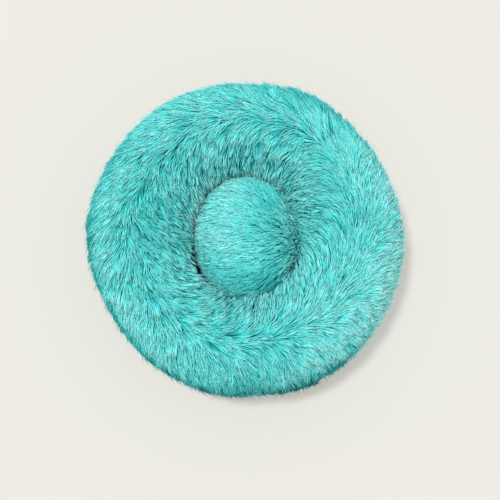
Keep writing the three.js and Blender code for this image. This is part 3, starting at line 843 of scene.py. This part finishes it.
TONE_PLACES = (0.0, 0.25, 0.5, 0.75, 1.0)
ROOT_SHADE_PLACES = (0.0, 0.35, 0.75, 1.0)


def pile_material(name, tones, root_shades):
    """Plush: its colour by each lock's tone, times painted shade by the place along it from the root."""
    look = Look(name, 0.75)
    chart = look.node("UVMap")
    chart.uv_map = "OFBake"
    split = look.node("SeparateXYZ")
    look.link(chart.outputs["UV"], split.inputs[0])
    tone = look.ramp(split.outputs["X"], zip(TONE_PLACES, tones))
    # Painted shade: darker toward each lock's root, as if in the shade of the pile above it.
    depth = look.ramp(split.outputs["Y"], zip(ROOT_SHADE_PLACES, root_shades))
    gloss = {"Specular IOR Level": 0.04, "Sheen Weight": 0.04, "Sheen Roughness": 0.45}
    set_inputs(look.shader, {**gloss, "Sheen Tint": (0.45, 1.0, 1.0, 1)})
    return look.colored(look.multiplied(tone, depth))


def woven(name, color, roughness, pitch, bump, variation=0.25):
    """Cloth: two sets of yarns at a pitch in metres, over a slowly changing colour."""
    look = Look(name, roughness)
    place = look.node("TexCoord").outputs["Object"]
    join = look.node("Math")
    join.operation = "MAXIMUM"
    for slot, way in enumerate(("X", "Y")):
        wave = look.node("TexWave", Scale=math.tau / 20 / pitch, Distortion=1.5, Detail=2.0)
        wave.bands_direction = way
        look.link(place, wave.inputs["Vector"])
        look.link(wave.outputs["Fac"], join.inputs[slot])
    yarns = look.shades(join.outputs[0], [(0.0, (0.5,) * 3), (0.8, (1.0,) * 3)], bump)
    cloudy = look.node("TexNoise", Scale=38.0, Detail=6.0)
    look.link(place, cloudy.inputs["Vector"])
    low, high = around(color, variation)
    broad = look.ramp(cloudy.outputs["Fac"], [(0.3, low), (0.7, high)])
    return look.colored(look.multiplied(broad, yarns))


def grained(name, color, roughness, scale, variation, bump, metallic=0.0, cells=False):
    """Wadding, nonwoven, nylon or cast metal: an uneven grain at a scale."""
    look = Look(name, roughness, color, metallic)
    grain = look.node("TexVoronoi" if cells else "TexNoise", Scale=scale)
    look.link(look.node("TexCoord").outputs["Object"], grain.inputs["Vector"])
    low, high = around(color, variation)
    value = grain.outputs["Distance" if cells else "Fac"]
    return look.colored(look.shades(value, [(0.25, low), (0.75, high)], bump))


# Each plush's tones, then its painted shade along a lock, darkest at the root.
PILE = pile_material("ring_pile", (
    (0.006, 0.150, 0.150), (0.050, 0.530, 0.512), (0.275, 0.825, 0.798), (0.525, 0.920, 0.897),
    (0.840, 0.985, 0.962),
), ((0.01, 0.18, 0.20), (0.17, 0.81, 0.83), (0.72, 0.98, 0.98), (1.0, 1.0, 1.0)))
PAD_PILE = pile_material("pad_pile", (
    (0.006, 0.180, 0.180), (0.055, 0.620, 0.610), (0.205, 0.880, 0.865), (0.440, 0.960, 0.945),
    (0.680, 0.990, 0.975),
), ((0.08, 0.50, 0.50), (0.36, 0.90, 0.90), (0.80, 0.99, 0.99), (1.0, 1.0, 1.0)))
KNIT = woven("knit_backing", (0.030, 0.260, 0.255), 0.92, 1.6 * MM, 0.3 * MM)
OXFORD = woven("oxford_cloth", (0.045, 0.070, 0.076), 0.72, 0.9 * MM, 0.15 * MM)
TAPE = woven("seam_tape", (0.030, 0.165, 0.162), 0.85, 0.8 * MM, 0.2 * MM)
ZIP_TAPE = woven("zip_tape", (0.040, 0.380, 0.370), 0.78, 0.7 * MM, 0.15 * MM)
THREAD = woven("thread", (0.060, 0.450, 0.440), 0.60, 0.4 * MM, 0.1 * MM, variation=0.15)
DOT = grained("grip_dot", (0.050, 0.055, 0.058), 0.38, 900.0, 0.3, 0.05 * MM)
NYLON = grained("zip_nylon", (0.060, 0.460, 0.450), 0.35, 700.0, 0.12, 0.03 * MM)
METAL = grained("zip_metal", (0.62, 0.64, 0.65), 0.30, 420.0, 0.12, 0.05 * MM, metallic=1.0)
NONWOVEN = grained("nonwoven_liner", (0.86, 0.86, 0.83), 0.88, 420.0, 0.10, 0.3 * MM, cells=True)
WADDING = grained("wadding", (0.92, 0.92, 0.91), 0.97, 160.0, 0.06, 1.5 * MM)


# Knitted backings, which the pile stands on, and the pile.
SEAM_GAP_DEGREES = 0.02  # from a backing's end to the middle of its cross seam


def backing(name, skin, depth_at, azimuths, angles, whole, node):
    """A closed sheet between two depths under a skin."""
    a, b = np.meshgrid(np.radians(azimuths), np.radians(angles), indexing="ij")
    depth = depth_at(a, b)
    outside = skin.point(a, b, depth)
    inside = skin.point(a, b, depth + BACKING_THICKNESS)[:, ::-1]
    rows = np.concatenate([outside, inside], axis=1)
    faces = swept_faces(len(azimuths), rows.shape[1], whole)
    mesh = mesh_of(name, rows.reshape(-1, 3), faces, sharp_degrees=60.0, weld=True)
    placed(name, mesh, KNIT, node=node)


def backings():
    angles = np.linspace(-44.5, 228, 92)
    for length, start, end in (("long", FIRST_SEAM, SECOND_SEAM), ("short", SECOND_SEAM, FIRST_SEAM + 360)):
        start, end = start + SEAM_GAP_DEGREES, end - SEAM_GAP_DEGREES
        azimuths = np.linspace(start, end, int((end - start) / 1.5))
        name, node = f"cover_backing_{length}", f"ring_cover_{length}"
        backing(name, ring, ring_depth, azimuths, angles, whole=False, node=node)
    azimuths, angles = np.arange(0, 360, 3.0), np.linspace(-20, 90, 38)
    backing("pad_backing", pad, pad_depth, azimuths, angles, whole=True, node="centre_top")


def pile_pieces(name, locks, order, mat):
    for k, chosen in enumerate(np.array_split(order, math.ceil(len(order) / LOCKS_IN_PIECE))):
        locks_mesh(f"{name}_{k + 1:02d}", locks, chosen, mat)


def plush():
    locks = pile(
        ring, ring_flow, ring_depth, ring_allowed, RING_LOCK_SPACING,
        angles=(-40, 177), zone=ring_zone, size=1.0,
    )
    pile_pieces("ring_pile", locks, np.argsort(locks["azimuth"], kind="stable"), PILE)
    locks = pile(
        pad, pad_flow, pad_depth, pad_allowed, PAD_LOCK_SPACING,
        angles=(-6, 90), zone=pad_zone, size=0.8,
    )
    pile_pieces("pad_pile", locks, np.arange(len(locks["width"])), PAD_PILE)


# The band between the base and the cover, where the tape and the zip are.
class Band:
    """A cone: places are given along it from its foot up, and out from its inside face."""

    def __init__(self):
        _, r, z = polar("rim_seam_tape")
        self.foot = np.array([r.min(), z[r.argmin()]])
        top = np.array([r[z.argmax()], z.max()])
        self.up = unit(top - self.foot)
        self.out = np.array([self.up[1], -self.up[0]])

    def spot(self, up, out):
        """Radius and height of a place."""
        up, out = np.broadcast_arrays(up, out)
        return self.foot + up[..., None] * self.up + out[..., None] * self.out

    def span(self, node):
        """A node's azimuths, how far it reaches along the band, and how far out."""
        azimuth, r, z = polar(node)
        away = np.stack([r, z], -1) - self.foot
        up, out = away @ self.up, away @ self.out
        return azimuth, (up.min(), up.max()), (out.min(), out.max())

    def frame(self, azimuth):
        """Round, up and out directions at azimuths in degrees."""
        level, along = ways_round(np.radians(azimuth))
        rise = np.array([0, 0, 1.0])
        return along, level * self.up[0] + rise * self.up[1], level * self.out[0] + rise * self.out[1]

    def place(self, azimuth, up, out):
        spot = self.spot(up, out)
        return round_points(spot[..., 0], np.radians(azimuth), spot[..., 1])

    def radius(self, up, out):
        return float(self.spot(up, out)[0])


band = Band()


def tape_strip(name, azimuths, low, high, thickness, mat, node, waviness):
    """A woven strip on the band, with soft rounded edges and a little ripple."""
    ups = np.linspace(low, high, 6)
    ups[0], ups[-1] = low + thickness * 0.35, high - thickness * 0.35
    inner, outer = [(u, 0.0) for u in ups[::-1]], [(u, thickness) for u in ups]
    outline = np.array([(high, thickness / 2)] + inner + [(low, thickness / 2)] + outer)
    middle = 1 - np.abs(outline[:, 0] - (low + high) / 2) / (high - low) * 2
    sections = []
    for azimuth in azimuths:
        ripple = waviness * (0.6 * math.sin(azimuth * 1.9) + 0.4 * math.sin(azimuth * 4.3 + 1.0))
        sections.append(band.spot(outline[:, 0], outline[:, 1] + ripple * middle))
    mesh = revolved(name, np.array(sections), azimuths, whole=False, sharp_degrees=60.0)
    piece = placed(name, mesh, mat, node=node)
    length = math.radians(azimuths[-1] - azimuths[0]) * band.radius((low + high) / 2, 0.0)


STITCH = 2.9 * MM
STITCH_PITCH = 3.6 * MM
THREAD_RADIUS = 0.24 * MM
TAPE_TUCK = 2.1 * MM  # of each tape, sewn in out of sight
TAPE_RIPPLE = 0.25 * MM
TAPE_GAP_DEGREES = 0.1  # from the rim tape's end to the zip
RIM_STITCH_INSET = 2.2 * MM  # from the band's edges
ZIP_STITCH_INSET = 1.8 * MM


def stitches(name, places, ways):
    """Threads between two holes each: rounded bars that dip at both ends."""
    stations, sides = (-0.5, -0.42, -0.2, 0.2, 0.42, 0.5), 6
    widths, lifts = (0.35, 0.85, 1.0, 1.0, 0.85, 0.35), (-1.2, -0.35, 0.15, 0.15, -0.35, -1.2)
    verts = [
        (s * STITCH, w * THREAD_RADIUS * math.cos(a), THREAD_RADIUS * (lift - w * math.sin(a)))
        for s, w, lift in zip(stations, widths, lifts)
        for a in np.arange(sides) * math.tau / sides
    ]
    return placed(name, copies(name, verts, swept_faces(len(stations), sides), places, *ways), THREAD)


def band_stitches(name, start, end, up, out):
    count = int(math.radians(end - start) * band.radius(up, out) / STITCH_PITCH)
    azimuth = start + (np.arange(count) + 0.5) / count * (end - start)
    stitches(name, band.place(azimuth, up, out), band.frame(azimuth))


def sewn_band():
    azimuth, (low, high), (_, out) = band.span("rim_seam_tape")
    after_zip = (azimuth - 180) % 360 + 180
    start, end = float(after_zip[after_zip > ZIP_END].min()), ZIP_START + 360 - TAPE_GAP_DEGREES
    azimuths, tucked = np.linspace(start, end, 420), high + TAPE_TUCK
    tape_strip("rim_tape", azimuths, low, tucked, out, TAPE, "rim_seam_tape", TAPE_RIPPLE)
    for k, up in enumerate((low + RIM_STITCH_INSET, high - RIM_STITCH_INSET)):
        band_stitches(f"rim_stitches_{k + 1}", start, end, up, out)


COIL_PITCH = 1.5 * MM
COIL_WIRE = 0.30 * MM


def coil(name, node, phase):
    """A nylon coil: one unbroken wire wound along the tape's edge."""
    azimuth, (low, high), (inside, outside) = band.span(node)
    start, end = azimuth.min(), azimuth.max()
    turns = int(math.radians(end - start) * band.radius((low + high) / 2, outside) / COIL_PITCH)
    steps, sides = 10, 5
    t = np.arange(turns * steps + 1) / steps
    where = start + t / turns * (end - start)
    spin = (t + phase) * math.tau
    wide, deep = (high - low) / 2 - COIL_WIRE, (outside - inside) / 2 - COIL_WIRE
    ups, outs = (low + high) / 2 + wide * np.cos(spin), (inside + outside) / 2 + deep * np.sin(spin)
    path = band.place(where, ups, outs)
    side, up = across(path, band.frame(where)[0])
    a = (np.arange(sides) * math.tau / sides)[:, None]
    verts = path[:, None] + COIL_WIRE * (side[:, None] * np.cos(a) + up[:, None] * np.sin(a))
    mesh = mesh_of(name, verts.reshape(-1, 3), swept_faces(len(path), sides))
    placed(name, mesh, NYLON, node=node)


def softened(name, node, body, width):
    """A metal node's own form with its hard edges rounded off."""
    mesh, shape = own_form(name, node)
    bmesh.ops.dissolve_limit(
        shape, angle_limit=math.radians(1.5), verts=shape.verts, edges=shape.edges, delimit={"NORMAL"}
    )
    hard = [e for e in shape.edges if e.is_manifold and e.calc_face_angle() > math.radians(38)]
    bmesh.ops.bevel(
        shape, geom=hard, offset=width, offset_type="OFFSET", segments=2, profile=0.5,
        affect="EDGES", clamp_overlap=True,
    )
    placed(name, shaded(mesh, 45, shape), METAL, body, node)


def zip_parts():
    azimuths = np.linspace(ZIP_START, ZIP_END, 260)
    for side in ("lower", "upper"):
        node = f"zip_tape_{side}"
        _, (low, high), (_, out) = band.span(node)
        seam = low + ZIP_STITCH_INSET if side == "lower" else high - ZIP_STITCH_INSET
        low, high = (low - TAPE_TUCK, high) if side == "lower" else (low, high + TAPE_TUCK)
        tape_strip(node + "_cloth", azimuths, low, high, out, ZIP_TAPE, node, 0.0)
        band_stitches(f"zip_stitches_{side}", ZIP_START + 0.5, ZIP_END - 0.5, seam, out)
        coil(f"zip_coil_{side}_wire", f"zip_coil_{side}", 0.0 if side == "lower" else 0.5)
    softened("zip_stop_closed_crimp", "zip_stop_closed", "bed", width=0.35 * MM)
    softened("zip_stop_open_crimp", "zip_stop_open", "bed", width=0.35 * MM)
    softened("zip_slider_body", "zip_slider", "slider", width=0.22 * MM)
    softened("zip_pull_tab", "zip_pull", "pull", width=0.25 * MM)


# The base: coated cloth with grip dots, its edge turned up and hemmed.
CLOTH_THICKNESS = 0.7 * MM
DOT_HEIGHT = 0.6 * MM
DOT_RADIUS = 1.5 * MM
DOT_PITCH = 9 * MM
DOT_FIELD_RADIUS = 0.207
BASE_TURN_WIDTH = 8 * MM
PUCKER_DEPTH = 0.25 * MM
HEM_INSET = 1.2 * MM  # from the edge in to the stitches
HEM_DROP = 1.9 * MM  # from the rim down to them


def base():
    _, r, z = polar("base_panel")
    edge, rim = float(r.max()), float(z[r.argmax()])
    flat = edge - BASE_TURN_WIDTH
    level = np.column_stack([np.linspace(0, flat, 24), np.full(24, DOT_HEIGHT)])[:-1]
    turn = np.linspace(0, math.pi / 2, 7)
    azimuths = np.arange(0, 360, 1.25)
    sections = []
    for a in np.radians(azimuths):
        pucker = PUCKER_DEPTH * (math.sin(47 * a) + 0.6 * math.sin(71 * a + 1.3))
        out = flat + (edge - flat) * np.sin(turn) ** 1.3 + pucker * np.sin(turn * 2)
        up = DOT_HEIGHT + (rim - DOT_HEIGHT) * (1 - np.cos(turn)) ** 1.3
        under = np.concatenate([level, np.column_stack([out, up])])
        over = under.copy()
        over[:, 1] += CLOTH_THICKNESS * np.concatenate([np.ones(len(level)), np.cos(turn)])
        over[len(level):, 0] -= CLOTH_THICKNESS * np.sin(turn)
        sections.append(np.concatenate([under, over[::-1]]))
    mesh = revolved("base_cloth", np.array(sections), azimuths, whole=True, sharp_degrees=50.0)
    cloth = placed("base_cloth", mesh, OXFORD, node="base_panel")
    goes_with = [grip_dots(), base_stitches(edge, rim)]


def grip_dots():
    sides = 10
    rings = ((1.0, 0.0), (0.96, 0.35), (0.78, 0.72), (0.42, 0.94))
    verts = [
        (DOT_RADIUS * w * math.cos(a), DOT_RADIUS * w * math.sin(a), DOT_HEIGHT * h)
        for w, h in rings
        for a in np.arange(sides) * math.tau / sides
    ]
    verts.append((0, 0, DOT_HEIGHT))
    quads, tips, foot = tipped_faces(len(rings), sides)
    row = DOT_PITCH * math.sqrt(3) / 2
    steps = int(DOT_FIELD_RADIUS / row) + 1
    spots = np.array([
        ((i + 0.5 * (j % 2)) * DOT_PITCH, j * row)
        for j in range(-steps, steps + 1)
        for i in range(-steps, steps + 1)
    ])
    spots = spots[np.hypot(spots[:, 0], spots[:, 1]) < DOT_FIELD_RADIUS]
    count = len(spots)
    places = np.column_stack([spots, np.full(count, DOT_HEIGHT)])
    ways = (np.tile(v, (count, 1)) for v in ((1.0, 0, 0), (0, -1.0, 0), (0, 0, -1.0)))
    mesh = copies("grip_dots", verts, [*quads, *tips, foot], places, *ways)
    return placed("grip_dots", mesh, DOT)


def base_stitches(edge, rim):
    radius = edge - HEM_INSET
    count = int(math.tau * radius / STITCH_PITCH)
    out, along = ways_round((np.arange(count) + 0.5) / count * math.tau)
    away = unit(out * 0.9 - np.array([0, 0, 0.45]))
    places = out * radius + np.array([0, 0, rim - HEM_DROP])
    return stitches("base_stitches", places, (along, np.cross(away, along), away))


# What is inside: the bolster's liner and filling, the pad's filling and the centre seam.
def remade(name, node, mat, cuts, move):
    """A node's own form, cut finer and moved point by point."""
    mesh, shape = own_form(name, node)
    for _ in range(cuts):
        bmesh.ops.subdivide_edges(shape, edges=shape.edges, cuts=1, use_grid_fill=True)
    shape.normal_update()
    for vert in shape.verts:
        vert.co += move(vert.co.copy(), vert.normal)
    return placed(name, shaded(mesh, 60, shape), mat, node=node)


def lumps(depth, size):
    """Sinks a surface by an uneven amount, as stuffing is."""
    def move(place, normal):
        return -normal * depth * (0.5 + 0.5 * noise.noise(place / size))
    return move


def creases(depth, size):
    """Moves both faces of thin cloth alike, in soft wrinkles round the tube."""
    def move(place, normal):
        away = Vector((place.x, place.y, 0)).normalized() * RING_CORE_RADIUS
        out = (place - Vector((away.x, away.y, RING_CORE_HEIGHT))).normalized()
        stretched = Vector((place.x, place.y, place.z * 0.3))
        return -out * depth * (0.5 + 0.5 * noise.noise(stretched / size))
    return move


def inside():
    piece = remade("bolster_wadding", "bolster_fill", WADDING, 2, lumps(3.5 * MM, 22 * MM))
    piece = remade("pad_wadding", "pad_fill", WADDING, 2, lumps(3.0 * MM, 20 * MM))
    piece = remade("bolster_case", "bolster_liner", NONWOVEN, 1, creases(0.35 * MM, 9 * MM))
    for side in ("left", "right"):
        name, node = f"bolster_end_{side}", f"liner_end_{side}"
        piece = remade(name, node, NONWOVEN, 1, lumps(0.1 * MM, 9 * MM))
    centre_seam()


FOLD_INSET = 0.1 * MM  # of the folds from the node's faces
FOLD_FULLNESS = 0.72  # of the height is cloth, and the rest the gaps between its layers


def centre_seam():
    """The folded allowance of the centre seam: one strip, back and forth four times."""
    _, r, z = polar("centre_seam_tape")
    low, high = float(z.min()), float(z.max())
    inner, outer = float(r.min()) + FOLD_INSET, float(r.max()) - FOLD_INSET
    layers = 4
    thickness = (high - low) / layers * FOLD_FULLNESS
    pitch = (high - low - thickness) / (layers - 1)
    ends = (inner + thickness / 2, outer - thickness / 2)
    middle = []
    for k in range(layers):
        spots = np.linspace(*(ends if k % 2 == 0 else ends[::-1]), 5)
        middle += [(x, low + thickness / 2 + k * pitch) for x in spots]
    middle = np.array(middle)
    along = unit(np.gradient(middle, axis=0))
    side = np.stack([-along[:, 1], along[:, 0]], -1) * thickness / 2
    outline = np.concatenate([middle - side, (middle + side)[::-1]])
    azimuths = np.arange(0, 360, 2.0)
    name = "centre_seam_allowance"
    mesh = revolved(name, np.tile(outline, (len(azimuths), 1, 1)), azimuths, whole=True)
    piece = placed(name, mesh, TAPE, node="centre_seam_tape")


# Floor, light and camera.
def floor_and_light():
    scene = bpy.context.scene
    scene.view_settings.view_transform = "Standard"
    scene.view_settings.look = "None"
    half = 6.0
    corners = [(-half, -half, 0), (half, -half, 0), (half, half, 0), (-half, half, 0)]
    mesh = mesh_of("floor", corners, [(0, 1, 2, 3)])
    floor = in_scene("floor", mesh)
    lit = (1 - FLOOR_GLOW_SHARE) / BRIGHTNESS
    look = Look("floor", 0.95, tuple(c * lit for c in FLOOR_COLOR))
    set_inputs(look.shader, {"Emission Color": (*FLOOR_COLOR, 1), "Emission Strength": FLOOR_GLOW_SHARE})
    mesh.materials.append(look.mat)
    world = bpy.data.worlds.new("studio")
    world.use_nodes = True
    background = world.node_tree.nodes["Background"]
    set_inputs(background, {"Color": (1.0, 1.0, 1.0, 1), "Strength": WORLD_STRENGTH})
    scene.world = world
    key = bpy.data.lights.new("key", "SUN")
    key.angle = math.radians(KEY_ANGLE)
    key.energy = KEY_STRENGTH
    light = in_scene("key", key)
    light.location = Vector(KEY_FROM) * 2
    light.rotation_euler = (-Vector(KEY_FROM)).to_track_quat("-Z", "Y").to_euler()


def camera():
    lens = bpy.data.cameras.new("camera")
    eye = in_scene("camera", lens)
    elevation = math.radians(CAMERA_ELEVATION)
    aim = Vector(AIM)
    eye.location = aim + Vector((0, -math.cos(elevation), math.sin(elevation))) * CAMERA_DISTANCE
    eye.rotation_euler = (aim - eye.location).to_track_quat("-Z", "Y").to_euler()
    lens.sensor_width = 36.0
    lens.lens = lens.sensor_width * CAMERA_DISTANCE / VIEW_WIDTH
    lens.clip_end = 50.0
    bpy.context.scene.camera = eye


backings()
plush()
sewn_band()
zip_parts()
base()
inside()
floor_and_light()
camera()
